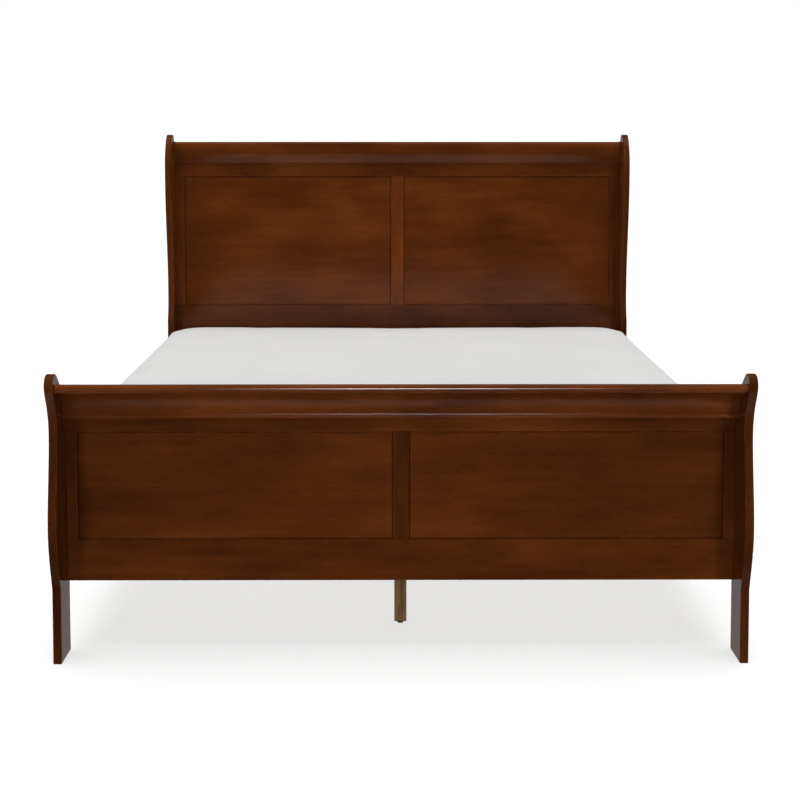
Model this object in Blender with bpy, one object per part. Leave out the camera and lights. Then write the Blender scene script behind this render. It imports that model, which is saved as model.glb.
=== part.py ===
"""Sleigh bed: scrolled posts, two-panel end boards, bolted side rails, a slatted base and a mattress.

Metres, +Z up, standing on Z = 0 and centred on X and Y. The foot of the bed is at -Y and the head at +Y.
"""

import math

import bmesh
import bpy
from mathutils import Matrix, Vector
from mathutils.geometry import interpolate_bezier

MM = 0.001
GAP = 0.0003  # between faces that touch on the real bed

# Overall sizes
BED_WIDTH = 1.594
LEG_DEPTH = 0.116
LEG_SPACING = 2.150  # front face of the foot legs to the front face of the head legs
FOOT_SCROLL_REACH = 0.063  # how far the foot scrolls stand out in front of their legs
POST_THICKNESS = 0.020
POST_EDGE_RADIUS = 0.0025
SEGMENTS = 9  # straight pieces along each curved stretch of an outline

FOOT_LEG_Y = FOOT_SCROLL_REACH - (FOOT_SCROLL_REACH + LEG_SPACING + LEG_DEPTH) / 2
HEAD_LEG_Y = FOOT_LEG_Y + LEG_SPACING
INNER_X = BED_WIDTH / 2 - POST_THICKNESS  # inner face of a post
SIDES = (("left", -1), ("right", 1))

# Frame members of both end boards, measured back from the leg's front face
FRAME_FRONT = 0.094
FRAME_THICKNESS = 0.020
GROOVE_FRONT = 0.0070  # from the frame's face to the panel groove
GROOVE_WIDTH = 0.0066
GROOVE_DEPTH = 0.0080
TONGUE_REACH = 0.0075
PANEL_RECESS = 0.0035
PANEL_QUIRK = 0.0025  # gap between a panel's raised field and the frame
EDGE_CHAMFER = 0.0012
TENON_SHOULDER = 0.0020  # from the bottom of an upright's groove to its tenon

# Heights of the footboard's members
FOOT_BOTTOM = 0.171
FOOT_PANEL_LOW = 0.268
FOOT_PANEL_HIGH = 0.522
FOOT_CREST_LOW = 0.561
FOOT_STILE_WIDTH = 0.024
FOOT_MULLION_WIDTH = 0.037

# Heights of the headboard's members
HEAD_BOTTOM = 0.330
HEAD_PANEL_LOW = 0.599
HEAD_PANEL_HIGH = 1.052
HEAD_CREST_LOW = 1.097
HEAD_STILE_WIDTH = 0.031
HEAD_MULLION_WIDTH = 0.044

# Side rails and slatted base
RAIL_LOW = 0.175
RAIL_HEIGHT = 0.200
RAIL_THICKNESS = 0.020
CLEAT_LOW = 0.195
CLEAT_SIZE = (0.022, 0.030)
CLEAT_INSET = 0.080  # from each end of the side rail, clear of the fittings
CLEAT_EDGE = 0.0010
SLAT_COUNT = 5
SLAT_WIDTH = 0.090
SLAT_THICKNESS = 0.020
SLAT_EDGE = 0.0020
SLAT_END_SPACE = 0.0020  # between a slat's end and the side rail
FIRST_SLAT = 0.225  # from the end of the side rail to the middle of the first and last slats
SUPPORT_LEG_SIDE = 0.030
SUPPORT_LEG_EDGE = 0.0015
GLIDE_RADIUS = 0.0090
GLIDE_FLAT_RADIUS = 0.0045  # of the flat the glide stands on
GLIDE_HEIGHT = 0.0065
GLIDE_BRIM = 0.0015  # straight part of its side, above the dome
DOME_STEPS = 4
STEM_RADIUS = 0.0030
STEM_LENGTH = 0.030
STEM_CLEARANCE = 0.0003
STEM_HOLE_SPARE = 0.004

# Mattress
MATTRESS_WIDTH = 1.536
MATTRESS_LENGTH = 2.030
MATTRESS_TOP = 0.530
MATTRESS_FROM_FRAME = 0.010
MATTRESS_CORNER = 0.085
MATTRESS_EDGE = 0.036

# Steel fittings
STEEL = 0.003
FITTING_HEIGHT = 0.082
FITTING_LOW = 0.180
ANGLE_ON_RAIL = 0.060
ANGLE_ON_BOARD = 0.045
PLATE_REACH = 0.060  # of a head plate, onto the rail and onto the post alike
BOLT_SPACING = 0.050
BOLT_RADIUS = 0.0030
BOLT_CLEARANCE = 0.0003
BOLT_GRIP = 0.014  # length in the wood
BOLT_HEAD_RADIUS = 0.0060
BOLT_HEAD_HEIGHT = 0.0030
BOLT_IN_BOARD = 0.028  # from the post's inner face to the foot bolts
BOLT_IN_POST = 0.035  # from the post's front face to the head bolts

# Outlines as Bezier knots, in mm: (depth, height, angle of travel in degrees, reach before, reach after).
# Depth runs back from the leg's front face. An angle of 90 travels up and 0 travels back.
FOOT_POST = (
    (0, 0, 90, 0, 0),
    (0, 172, 110, 0, 45),
    (-43, 319, 90, 55, 71),
    (-14, 531, 90, 71, 35),
    (-41, 609, 125, 18, 12),
    (-1000 * FOOT_SCROLL_REACH, 650, 90, 15, 14),
    (-32, 674.5, 0, 19, 20),
    (17, 651, -32, 22, 40),
    (1000 * LEG_DEPTH, 550, -90, 35, 0),
    (1000 * LEG_DEPTH, 0, -90, 0, 0),
)
HEAD_POST = (
    (0, 0, 90, 0, 0),
    (0, 555, 63, 0, 26),
    (20.5, 655, 90, 65, 131),
    (-38, 1050, 90, 131, 30),
    (-33, 1119, 72, 25, 28),
    (36, 1197, 0, 38, 18),
    (69, 1182, -85, 10, 7),
    (88, 1173, 0, 12, 0),
    (111, 1173, 0, 0, 2.5),
    (1000 * LEG_DEPTH, 1168, -90, 2.5, 0),
    (1000 * LEG_DEPTH, 0, -90, 0, 0),
)
FOOT_CREST = (
    (46.5, 561.3, 90, 0, 0),
    (46.5, 570.3, 90, 0, 0),
    (50, 570.3, 90, 0, 34),
    (-40, 632, 180, 50, 0),
    (-40, 634.5, 180, 0, 0),
    (-46, 634.5, 180, 0, 4.8),
    (-54.8, 643.2, 90, 4.8, 4.8),
    (-46, 652, 0, 4.8, 25),
    (17, 634, -28, 25, 35),
    (112, 561.3, -80, 30, 0),
)
HEAD_CREST = (
    (89, 1097.3, 90, 0, 0),
    (85.5, 1100.5, 95, 0, 8),
    (77, 1134, 90, 14, 14),
    (91, 1171.5, 0, 11, 0),
    (114, 1171.5, 0, 0, 0),
    (114, 1097.3, 180, 0, 0),
)


def clear_scene():
    for old in list(bpy.data.objects):
        bpy.data.objects.remove(old, do_unlink=True)


def finish_material(name, color, roughness, metallic=0.0):
    material = bpy.data.materials.new(name)
    material.use_nodes = True
    shader = material.node_tree.nodes["Principled BSDF"]
    shader.inputs["Base Color"].default_value = (*color, 1.0)
    shader.inputs["Roughness"].default_value = roughness
    shader.inputs["Metallic"].default_value = metallic
    return material


def add_object(name, bm, material, smooth_below=40):
    """Turns a bmesh into a named object whose faces point outwards."""
    bmesh.ops.recalc_face_normals(bm, faces=bm.faces)
    mesh = bpy.data.meshes.new(name)
    bm.to_mesh(mesh)
    bm.free()
    mesh.materials.append(material)
    mesh.shade_smooth()
    mesh.set_sharp_from_angle(angle=math.radians(smooth_below))
    piece = bpy.data.objects.new(name, mesh)
    bpy.context.scene.collection.objects.link(piece)
    return piece


def outline_points(knots):
    """Depth and height, in metres, along a closed outline of Bezier knots."""
    points = []
    for knot, following in zip(knots, knots[1:] + knots[:1]):
        start = Vector((knot[0], knot[1])) * MM
        end = Vector((following[0], following[1])) * MM
        heading = Vector((math.cos(math.radians(knot[2])), math.sin(math.radians(knot[2]))))
        arriving = Vector((math.cos(math.radians(following[2])), math.sin(math.radians(following[2]))))
        if knot[4] == 0 and following[3] == 0:
            points.append(start)
            continue
        handles = start + heading * knot[4] * MM, end - arriving * following[3] * MM
        curve = interpolate_bezier(start, handles[0], handles[1], end, SEGMENTS + 1)
        points.extend(curve[:-1])
    return points


def extruded(bm, corners, along):
    """Sweeps a flat polygon of 3-D corners along a vector and returns the rim edges of both ends."""
    face = bm.faces.new([bm.verts.new(corner) for corner in corners])
    rim = list(face.edges)
    swept = bmesh.ops.extrude_face_region(bm, geom=[face], use_keep_orig=True)
    moved = [item for item in swept["geom"] if isinstance(item, bmesh.types.BMVert)]
    bmesh.ops.translate(bm, verts=moved, vec=along)
    far = [item for item in swept["geom"] if isinstance(item, bmesh.types.BMEdge)]
    return rim + far


def bar_along_x(name, section, half_length, material):
    """A moulding or rail: a section of (y, z) points swept across the bed."""
    bm = bmesh.new()
    extruded(bm, [(-half_length, y, z) for y, z in section], (2 * half_length, 0, 0))
    return add_object(name, bm, material)


def block(name, low, high, material, edge=0.0, segments=2):
    """A squared board with rounded edges."""
    bm = bmesh.new()
    centre = (Vector(low) + Vector(high)) / 2
    size = Vector(high) - Vector(low)
    bmesh.ops.create_cube(bm, size=1.0, matrix=Matrix.Translation(centre) @ Matrix.Diagonal((*size, 1)))
    if edge:
        bmesh.ops.bevel(bm, geom=bm.edges, offset=edge, segments=segments, profile=0.5, affect="EDGES")
    return add_object(name, bm, material)


def cylinder(name, start, end, radius, material, sides=12):
    """A straight round bar between two points."""
    bm = bmesh.new()
    axis = Vector(end) - Vector(start)
    turn = axis.to_track_quat("Z", "Y").to_matrix().to_4x4()
    place = Matrix.Translation((Vector(start) + Vector(end)) / 2) @ turn
    bmesh.ops.create_cone(
        bm, cap_ends=True, segments=sides, radius1=radius, radius2=radius, depth=axis.length, matrix=place
    )
    return add_object(name, bm, material)


def hide_tool(tool):
    """Marks an object that only cuts or joins another."""
    tool.hide_render = True
    tool.display_type = "WIRE"
    return tool


def combine(piece, tool, operation):
    boolean = piece.modifiers.new(operation.lower(), "BOOLEAN")
    boolean.operation = operation
    boolean.solver = "EXACT"
    boolean.object = hide_tool(tool)


# End boards


def post(name, knots, leg_y, side, material):
    """A flat board post: its scrolled outline, with a small radius around both faces."""
    bm = bmesh.new()
    outer = side * BED_WIDTH / 2
    corners = [(outer, leg_y + depth, height) for depth, height in outline_points(knots)]
    rim = extruded(bm, corners, (-side * POST_THICKNESS, 0, 0))
    bmesh.ops.bevel(bm, geom=rim, offset=POST_EDGE_RADIUS, segments=3, profile=0.5, affect="EDGES")
    return add_object(name, bm, material)


def crest(name, knots, leg_y, material):
    """A moulded cap between the posts."""
    section = [(leg_y + depth, height) for depth, height in outline_points(knots)]
    return bar_along_x(name, section, INNER_X - GAP, material)


def grooved_edge(front, edge, inward):
    """(depth, position) points across a member's edge that holds a panel, from its face to its back."""
    chamfer = EDGE_CHAMFER
    groove_end = edge + inward * GROOVE_DEPTH
    return [
        (front, edge + inward * chamfer),
        (front + chamfer, edge),
        (front + GROOVE_FRONT, edge),
        (front + GROOVE_FRONT, groove_end),
        (front + GROOVE_FRONT + GROOVE_WIDTH, groove_end),
        (front + GROOVE_FRONT + GROOVE_WIDTH, edge),
        (front + FRAME_THICKNESS, edge),
    ]


def frame_rail(name, leg_y, low, high, groove_at_top, material):
    """A horizontal member with its panel groove along one edge."""
    front = leg_y + FRAME_FRONT
    if groove_at_top:
        section = grooved_edge(front, high, -1) + [(front + FRAME_THICKNESS, low), (front, low)]
    else:
        section = grooved_edge(front, low, 1) + [(front + FRAME_THICKNESS, high), (front, high)]
    return bar_along_x(name, section, INNER_X - GAP, material)


def frame_upright(name, leg_y, x_low, x_high, z_low, z_high, grooves, material):
    """A stile or mullion between the rails, with panel grooves on the edges named and a tenon at each end."""
    front = leg_y + FRAME_FRONT
    back = front + FRAME_THICKNESS
    left = grooved_edge(front, x_low, 1) if "left" in grooves else [(front, x_low), (back, x_low)]
    right = grooved_edge(front, x_high, -1) if "right" in grooves else [(front, x_high), (back, x_high)]
    section = left + right[::-1]
    bm = bmesh.new()
    bottom = z_low + GAP
    top = z_high - GAP
    extruded(bm, [(x, y, bottom) for y, x in section], (0, 0, top - bottom))
    piece = add_object(name, bm, material)
    core_low = x_low + (GROOVE_DEPTH if "left" in grooves else 0) + TENON_SHOULDER
    core_high = x_high - (GROOVE_DEPTH if "right" in grooves else 0) - TENON_SHOULDER
    tenon_front = front + GROOVE_FRONT + GAP
    tenon_back = front + GROOVE_FRONT + GROOVE_WIDTH - GAP
    tenon = block(
        name + "_tenon",
        (core_low, tenon_front, z_low - TONGUE_REACH),
        (core_high, tenon_back, z_high + TONGUE_REACH),
        material,
    )
    combine(piece, tenon, "UNION")
    return piece


def panel(name, leg_y, x_low, x_high, z_low, z_high, material):
    """A panel whose thin tongue sits in the frame's grooves and whose field stands forward of it."""
    front = leg_y + FRAME_FRONT
    tongue_front = front + GROOVE_FRONT + GAP
    tongue_back = front + GROOVE_FRONT + GROOVE_WIDTH - GAP
    field_front = front + PANEL_RECESS
    bm = bmesh.new()
    reach = TONGUE_REACH
    corners = (
        (x_low - reach, tongue_back, z_low - reach),
        (x_high + reach, tongue_back, z_low - reach),
        (x_high + reach, tongue_back, z_high + reach),
        (x_low - reach, tongue_back, z_high + reach),
    )
    extruded(bm, corners, (0, tongue_front - tongue_back, 0))
    shoulder = min(bm.faces, key=lambda item: item.calc_center_median().y)
    bmesh.ops.inset_region(bm, faces=[shoulder], thickness=reach + PANEL_QUIRK, use_even_offset=True)
    field = bmesh.ops.extrude_discrete_faces(bm, faces=[shoulder])["faces"][0]
    bmesh.ops.translate(bm, verts=field.verts, vec=(0, field_front + EDGE_CHAMFER - tongue_front, 0))
    bmesh.ops.inset_region(bm, faces=[field], thickness=EDGE_CHAMFER, use_even_offset=True)
    bmesh.ops.translate(bm, verts=field.verts, vec=(0, -EDGE_CHAMFER, 0))
    return add_object(name, bm, material, smooth_below=20)


def end_board(prefix, leg_y, heights, widths, material, panel_material):
    """Rails, stiles, mullion and two panels between a pair of posts."""
    bottom, panel_low, panel_high, crest_low = heights
    stile_width, mullion_width = widths
    edge = INNER_X - GAP
    half_mullion = mullion_width / 2
    opening = INNER_X - stile_width
    frame_rail(prefix + "_bottom_rail", leg_y, bottom, panel_low, True, material)
    frame_rail(prefix + "_top_rail", leg_y, panel_high, crest_low, False, material)
    span = (panel_low, panel_high)
    frame_upright(prefix + "_stile_left", leg_y, -edge, -opening, *span, ("right",), material)
    frame_upright(prefix + "_stile_right", leg_y, opening, edge, *span, ("left",), material)
    frame_upright(prefix + "_mullion", leg_y, -half_mullion, half_mullion, *span, ("left", "right"), material)
    panel(prefix + "_panel_left", leg_y, -opening, -half_mullion, *span, panel_material)
    panel(prefix + "_panel_right", leg_y, half_mullion, opening, *span, panel_material)


# Rails and base


def side_rail(label, side, material):
    """The long board between a foot leg and a head leg."""
    outer = side * BED_WIDTH / 2
    inner = side * (BED_WIDTH / 2 - RAIL_THICKNESS)
    low = (min(outer, inner), FOOT_LEG_Y + LEG_DEPTH + GAP, RAIL_LOW)
    high = (max(outer, inner), HEAD_LEG_Y - GAP, RAIL_LOW + RAIL_HEIGHT)
    return block("side_rail_" + label, low, high, material, edge=POST_EDGE_RADIUS)


def slat_cleat(label, side, material):
    """The ledge along the inside of a side rail that the slats lie on."""
    outer = side * (INNER_X - GAP)
    inner = side * (INNER_X - GAP - CLEAT_SIZE[0])
    low = (min(outer, inner), FOOT_LEG_Y + LEG_DEPTH + CLEAT_INSET, CLEAT_LOW)
    high = (max(outer, inner), HEAD_LEG_Y - CLEAT_INSET, CLEAT_LOW + CLEAT_SIZE[1])
    return block("slat_cleat_" + label, low, high, material, edge=CLEAT_EDGE, segments=1)


def slat_positions():
    first = FOOT_LEG_Y + LEG_DEPTH + FIRST_SLAT
    last = HEAD_LEG_Y - FIRST_SLAT
    return [first + (last - first) * index / (SLAT_COUNT - 1) for index in range(SLAT_COUNT)]


def slat_bottom():
    return CLEAT_LOW + CLEAT_SIZE[1] + GAP


def slat(index, y, material):
    half = INNER_X - SLAT_END_SPACE
    low = (-half, y - SLAT_WIDTH / 2, slat_bottom())
    high = (half, y + SLAT_WIDTH / 2, slat_bottom() + SLAT_THICKNESS)
    return block(f"slat_{index}", low, high, material, edge=SLAT_EDGE)


def support_leg(index, y, material, tool_material):
    """A square leg under the middle of a slat, bored from below for its glide's stem."""
    half = SUPPORT_LEG_SIDE / 2
    low = (-half, y - half, GLIDE_HEIGHT + GAP)
    high = (half, y + half, slat_bottom() - GAP)
    leg = block(f"support_leg_{index}", low, high, material, edge=SUPPORT_LEG_EDGE)
    hole_top = GLIDE_HEIGHT + STEM_LENGTH + STEM_HOLE_SPARE
    drill = cylinder(
        f"stem_drill_{index}", (0, y, 0), (0, y, hole_top), STEM_RADIUS + STEM_CLEARANCE, tool_material
    )
    combine(leg, drill, "DIFFERENCE")
    return leg


def leveling_glide(index, y, material):
    """A domed foot turned in one piece with its threaded stem, drawn plain."""
    profile = [(0, GLIDE_HEIGHT + STEM_LENGTH), (STEM_RADIUS, GLIDE_HEIGHT + STEM_LENGTH)]
    profile += [(STEM_RADIUS, GLIDE_HEIGHT), (GLIDE_RADIUS, GLIDE_HEIGHT)]
    rise = GLIDE_HEIGHT - GLIDE_BRIM
    for step in range(DOME_STEPS + 1):
        angle = math.radians(90 * step / DOME_STEPS)
        radius = GLIDE_FLAT_RADIUS + (GLIDE_RADIUS - GLIDE_FLAT_RADIUS) * math.cos(angle)
        profile.append((radius, rise * (1 - math.sin(angle))))
    profile.append((0, 0))
    bm = bmesh.new()
    ring = [bm.verts.new((radius, 0, height)) for radius, height in profile]
    edges = [bm.edges.new(pair) for pair in zip(ring, ring[1:])]
    bmesh.ops.spin(
        bm, geom=ring + edges, axis=(0, 0, 1), cent=(0, 0, 0), angle=math.tau, steps=16, use_merge=True
    )
    bmesh.ops.remove_doubles(bm, verts=bm.verts, dist=MM / 100)
    glide = add_object(f"leveling_glide_{index}", bm, material)
    glide.location.y = y
    return glide


def mattress(material):
    """A plain block with rounded corners in plan and rounded rims above and below."""
    half = MATTRESS_WIDTH / 2
    foot = FOOT_LEG_Y + FRAME_FRONT + FRAME_THICKNESS + MATTRESS_FROM_FRAME
    low = Vector((-half, foot, slat_bottom() + SLAT_THICKNESS + GAP))
    high = Vector((half, foot + MATTRESS_LENGTH, MATTRESS_TOP))
    bm = bmesh.new()
    size = high - low
    place = Matrix.Translation((low + high) / 2) @ Matrix.Diagonal((*size, 1))
    bmesh.ops.create_cube(bm, size=1.0, matrix=place)
    upright = [edge for edge in bm.edges if abs(edge.verts[0].co.z - edge.verts[1].co.z) > size.z / 2]
    bmesh.ops.bevel(bm, geom=upright, offset=MATTRESS_CORNER, segments=6, profile=0.5, affect="EDGES")
    rims = [edge for edge in bm.edges if abs(edge.verts[0].co.z - edge.verts[1].co.z) < size.z / 2]
    bmesh.ops.bevel(bm, geom=rims, offset=MATTRESS_EDGE, segments=4, profile=0.5, affect="EDGES")
    return add_object("mattress", bm, material)


# Steel fittings


def bolt_heights():
    middle = FITTING_LOW + FITTING_HEIGHT / 2
    return (("lower", middle - BOLT_SPACING / 2), ("upper", middle + BOLT_SPACING / 2))


def bolt(name, seat, inward, material):
    """A bolt whose head sits on the fitting at seat and whose shank runs inward through it into the wood."""
    inward = Vector(inward)
    head = cylinder(name, seat, seat - inward * BOLT_HEAD_HEIGHT, BOLT_HEAD_RADIUS, material, sides=6)
    shank_end = seat + inward * (GAP + STEEL + GAP + BOLT_GRIP)
    shank = cylinder(
        name + "_shank", seat - inward * BOLT_HEAD_HEIGHT / 2, shank_end, BOLT_RADIUS, material, sides=10
    )
    combine(head, shank, "UNION")
    return head


def bolt_hole(name, seat, inward, pieces, material):
    """One drill that clears the bolt through the fitting and into the wood behind it."""
    inward = Vector(inward)
    start = seat - inward * STEEL
    end = seat + inward * (2 * STEEL + BOLT_GRIP)
    drill = cylinder(name, start, end, BOLT_RADIUS + BOLT_CLEARANCE, material, sides=10)
    for piece in pieces:
        combine(piece, drill, "DIFFERENCE")


def foot_fitting(label, side, board, material):
    """A steel angle in the corner between a side rail and the back of the footboard."""
    face_x = side * (INNER_X - GAP)
    board_back = FOOT_LEG_Y + FRAME_FRONT + FRAME_THICKNESS + GAP
    rail_start = FOOT_LEG_Y + LEG_DEPTH
    corners = [
        (face_x, board_back),
        (face_x - side * ANGLE_ON_BOARD, board_back),
        (face_x - side * ANGLE_ON_BOARD, board_back + STEEL),
        (face_x - side * STEEL, board_back + STEEL),
        (face_x - side * STEEL, rail_start + ANGLE_ON_RAIL),
        (face_x, rail_start + ANGLE_ON_RAIL),
    ]
    bm = bmesh.new()
    extruded(bm, [(x, y, FITTING_LOW) for x, y in corners], (0, 0, FITTING_HEIGHT))
    angle = add_object("foot_corner_angle_" + label, bm, material)
    for level, height in bolt_heights():
        seat = Vector((side * (INNER_X - BOLT_IN_BOARD), board_back + STEEL + GAP, height))
        bolt(f"foot_bolt_{label}_{level}", seat, (0, -1, 0), material)
        bolt_hole(f"foot_drill_{label}_{level}", seat, (0, -1, 0), (angle, board), material)
    return angle


def head_fitting(label, side, head_post, material):
    """A flat steel plate across the joint between a side rail and a head post."""
    faces = sorted((side * (INNER_X - GAP), side * (INNER_X - GAP - STEEL)))
    low = (faces[0], HEAD_LEG_Y - PLATE_REACH, FITTING_LOW)
    high = (faces[1], HEAD_LEG_Y + PLATE_REACH, FITTING_LOW + FITTING_HEIGHT)
    plate = block("head_joint_plate_" + label, low, high, material)
    for level, height in bolt_heights():
        seat = Vector((side * (INNER_X - 2 * GAP - STEEL), HEAD_LEG_Y + BOLT_IN_POST, height))
        bolt(f"head_bolt_{label}_{level}", seat, (side, 0, 0), material)
        bolt_hole(f"head_drill_{label}_{level}", seat, (side, 0, 0), (plate, head_post), material)
    return plate


def main():
    clear_scene()
    cherry = finish_material("cherry_lacquer", (0.075, 0.024, 0.011), 0.28)
    panel_veneer = finish_material("cherry_veneer", (0.085, 0.028, 0.012), 0.30)
    slat_wood = finish_material("slat_pine", (0.52, 0.36, 0.20), 0.65)
    leg_stain = finish_material("leg_stain", (0.115, 0.062, 0.030), 0.50)
    steel = finish_material("zinc_steel", (0.60, 0.60, 0.58), 0.35, 1.0)
    black = finish_material("black_plastic", (0.015, 0.015, 0.015), 0.45)
    ticking = finish_material("mattress_ticking", (0.80, 0.80, 0.79), 0.90)

    head_posts = {}
    for label, side in SIDES:
        post("footboard_post_" + label, FOOT_POST, FOOT_LEG_Y, side, cherry)
        head_posts[label] = post("headboard_post_" + label, HEAD_POST, HEAD_LEG_Y, side, cherry)
    crest("footboard_crest", FOOT_CREST, FOOT_LEG_Y, cherry)
    crest("headboard_crest", HEAD_CREST, HEAD_LEG_Y, cherry)
    foot_heights = (FOOT_BOTTOM, FOOT_PANEL_LOW, FOOT_PANEL_HIGH, FOOT_CREST_LOW)
    head_heights = (HEAD_BOTTOM, HEAD_PANEL_LOW, HEAD_PANEL_HIGH, HEAD_CREST_LOW)
    foot_widths = (FOOT_STILE_WIDTH, FOOT_MULLION_WIDTH)
    head_widths = (HEAD_STILE_WIDTH, HEAD_MULLION_WIDTH)
    end_board("footboard", FOOT_LEG_Y, foot_heights, foot_widths, cherry, panel_veneer)
    end_board("headboard", HEAD_LEG_Y, head_heights, head_widths, cherry, panel_veneer)
    foot_rail = bpy.data.objects["footboard_bottom_rail"]

    for label, side in SIDES:
        side_rail(label, side, cherry)
        slat_cleat(label, side, slat_wood)
        foot_fitting(label, side, foot_rail, steel)
        head_fitting(label, side, head_posts[label], steel)
    for index, y in enumerate(slat_positions(), start=1):
        slat(index, y, slat_wood)
        support_leg(index, y, leg_stain, black)
        leveling_glide(index, y, black)
    mattress(ticking)


main()
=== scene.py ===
"""Finish and set for a sleigh bed.

Lacquered cherry end boards and rails, pine slats, steel fittings and a mattress. In metres, in the
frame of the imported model: +Z up, the footboard at -Y, the headboard at +Y.
"""

import math

import bmesh
import bpy
import numpy as np
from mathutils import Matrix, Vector


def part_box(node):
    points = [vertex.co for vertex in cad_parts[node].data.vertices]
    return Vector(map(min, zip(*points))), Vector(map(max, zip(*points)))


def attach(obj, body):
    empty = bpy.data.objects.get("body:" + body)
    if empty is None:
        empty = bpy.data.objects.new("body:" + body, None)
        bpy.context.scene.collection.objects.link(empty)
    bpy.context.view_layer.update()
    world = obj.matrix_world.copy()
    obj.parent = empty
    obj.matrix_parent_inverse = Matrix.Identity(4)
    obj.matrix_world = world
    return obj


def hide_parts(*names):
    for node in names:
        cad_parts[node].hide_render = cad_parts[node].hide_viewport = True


bl_info = {
    "name": "Sleigh Bed Finish",
    "version": (1, 0, 0),
    "blender": (4, 5, 0),
    "location": "3D View > Sidebar > Sleigh Bed",
    "description": "Finishes a sleigh bed's wood, steel and mattress around its fixed frame",
    "category": "Object",
}

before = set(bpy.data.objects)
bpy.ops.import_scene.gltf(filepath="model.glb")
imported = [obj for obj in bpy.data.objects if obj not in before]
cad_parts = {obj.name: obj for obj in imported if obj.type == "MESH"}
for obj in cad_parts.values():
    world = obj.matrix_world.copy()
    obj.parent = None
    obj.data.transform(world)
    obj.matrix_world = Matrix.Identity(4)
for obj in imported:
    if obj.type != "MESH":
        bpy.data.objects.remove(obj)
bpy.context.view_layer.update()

BED = "bed_frame"
ENDS = ("footboard", "headboard")
SIDES = ("left", "right")
LEVELS = ("lower", "upper")
# Each slat has a centre leg and a glide of its own
SLAT_COUNT = len([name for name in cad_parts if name.startswith("slat_") and name[-1].isdigit()])

MATTRESS_LOW, MATTRESS_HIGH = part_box("mattress")
MATTRESS_MIDDLE = (MATTRESS_LOW + MATTRESS_HIGH) / 2
MATTRESS_CORNER = 0.085  # radius of its corners, seen from above
MATTRESS_RIM = 0.036  # radius of the CAD shape's upper and lower edges


# Sizes and colours that a user would change


class SLEIGHBED_PG_wood(bpy.types.PropertyGroup):
    stain_dark: bpy.props.FloatVectorProperty(
        name="Dark stain", description="Stain in the dark figure", subtype="COLOR",
        default=(0.058, 0.0135, 0.0026)
    )
    stain_middle: bpy.props.FloatVectorProperty(
        name="Stain", description="Stain over most of the wood", subtype="COLOR",
        default=(0.100, 0.0250, 0.0046)
    )
    stain_light: bpy.props.FloatVectorProperty(
        name="Light stain", description="Stain in the light figure", subtype="COLOR",
        default=(0.150, 0.0400, 0.0075)
    )
    rubbed: bpy.props.FloatVectorProperty(
        name="Rubbed edge", description="Wood where handling has thinned the stain", subtype="COLOR",
        default=(0.19, 0.065, 0.020)
    )
    edge: bpy.props.FloatProperty(
        name="Eased edge", description="Width sanded off sharp edges", default=0.0006, unit="LENGTH"
    )
    lacquer: bpy.props.FloatProperty(
        name="Lacquer", description="Strength of the clear coat", default=0.38, min=0.0, max=1.0,
        subtype="FACTOR"
    )


class SLEIGHBED_PG_mattress(bpy.types.PropertyGroup):
    cover: bpy.props.FloatVectorProperty(
        name="Cover", description="Colour of the knit cover", subtype="COLOR", default=(0.68, 0.68, 0.67)
    )
    mesh_size: bpy.props.FloatProperty(
        name="Mesh size", description="Size of the cloth's squares", default=0.020, unit="LENGTH"
    )
    shrink: bpy.props.FloatProperty(
        name="Start inset", description="How much smaller the cover starts than its space", default=0.003,
        unit="LENGTH"
    )
    swell: bpy.props.FloatProperty(
        name="Swell", description="How far the filling may push the cover out", default=0.013, unit="LENGTH"
    )
    side_share: bpy.props.FloatProperty(
        name="Side share", description="How much of the swell the stitched sides allow", default=0.25,
        min=0.0, max=1.0, subtype="FACTOR"
    )
    bulge: bpy.props.FloatProperty(
        name="Bulge", description="How far the sides stand out above the rails", default=0.014, unit="LENGTH"
    )
    seam_inset: bpy.props.FloatProperty(
        name="Seam inset", description="How deep the piped seams pull in", default=0.0055, unit="LENGTH"
    )
    seam_from_face: bpy.props.FloatProperty(
        name="Seam position", description="From the top or bottom to the piped seam", default=0.046,
        unit="LENGTH"
    )
    piping: bpy.props.FloatProperty(
        name="Piping", description="Radius of the piping", default=0.0038, unit="LENGTH"
    )


class SLEIGHBED_PG_stage(bpy.types.PropertyGroup):
    camera_at: bpy.props.FloatVectorProperty(
        name="Camera", description="Where the camera stands", subtype="XYZ", unit="LENGTH",
        default=(-0.0243, -5.0967, 1.2331)
    )
    tilt: bpy.props.FloatProperty(
        name="Tilt", description="How far the camera looks down", default=0.080, unit="ROTATION"
    )
    turn: bpy.props.FloatProperty(
        name="Turn", description="How far the camera turns to the right", default=0.0054, unit="ROTATION"
    )
    lens: bpy.props.FloatProperty(name="Lens", description="Focal length in millimetres", default=80.1)
    rise: bpy.props.FloatProperty(
        name="Shift", description="Vertical shift, as a share of the picture's width", default=-0.1663
    )
    floor: bpy.props.FloatVectorProperty(
        name="Floor", description="Colour of the floor", subtype="COLOR", default=(0.30, 0.30, 0.30)
    )


# How much lighter or darker than the rest each board is: partly its own stain, partly painted light and
# shade, set so that each board matches how bright it looks as lit
BOARD_STAIN_AND_SHADE = {
    "footboard_mullion": 0.62,
    "footboard_panel": 0.90,
    "headboard_mullion": 1.40,
    "footboard_stile": 1.22,
    "headboard_stile": 1.12,
    "footboard_post": 0.84,
    "headboard_crest": 1.10,
}


# Selecting and shaping

WELD_DISTANCE = 0.00001
FLAT_WITHIN = math.radians(0.5)  # triangles that turn less than this are one flat face


def pick(*pieces):
    """Selects these objects alone, and makes the first one active."""
    bpy.ops.object.select_all(action="DESELECT")
    for piece in pieces:
        piece.select_set(True)
    bpy.context.view_layer.objects.active = pieces[0]
    return pieces[0]


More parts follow.
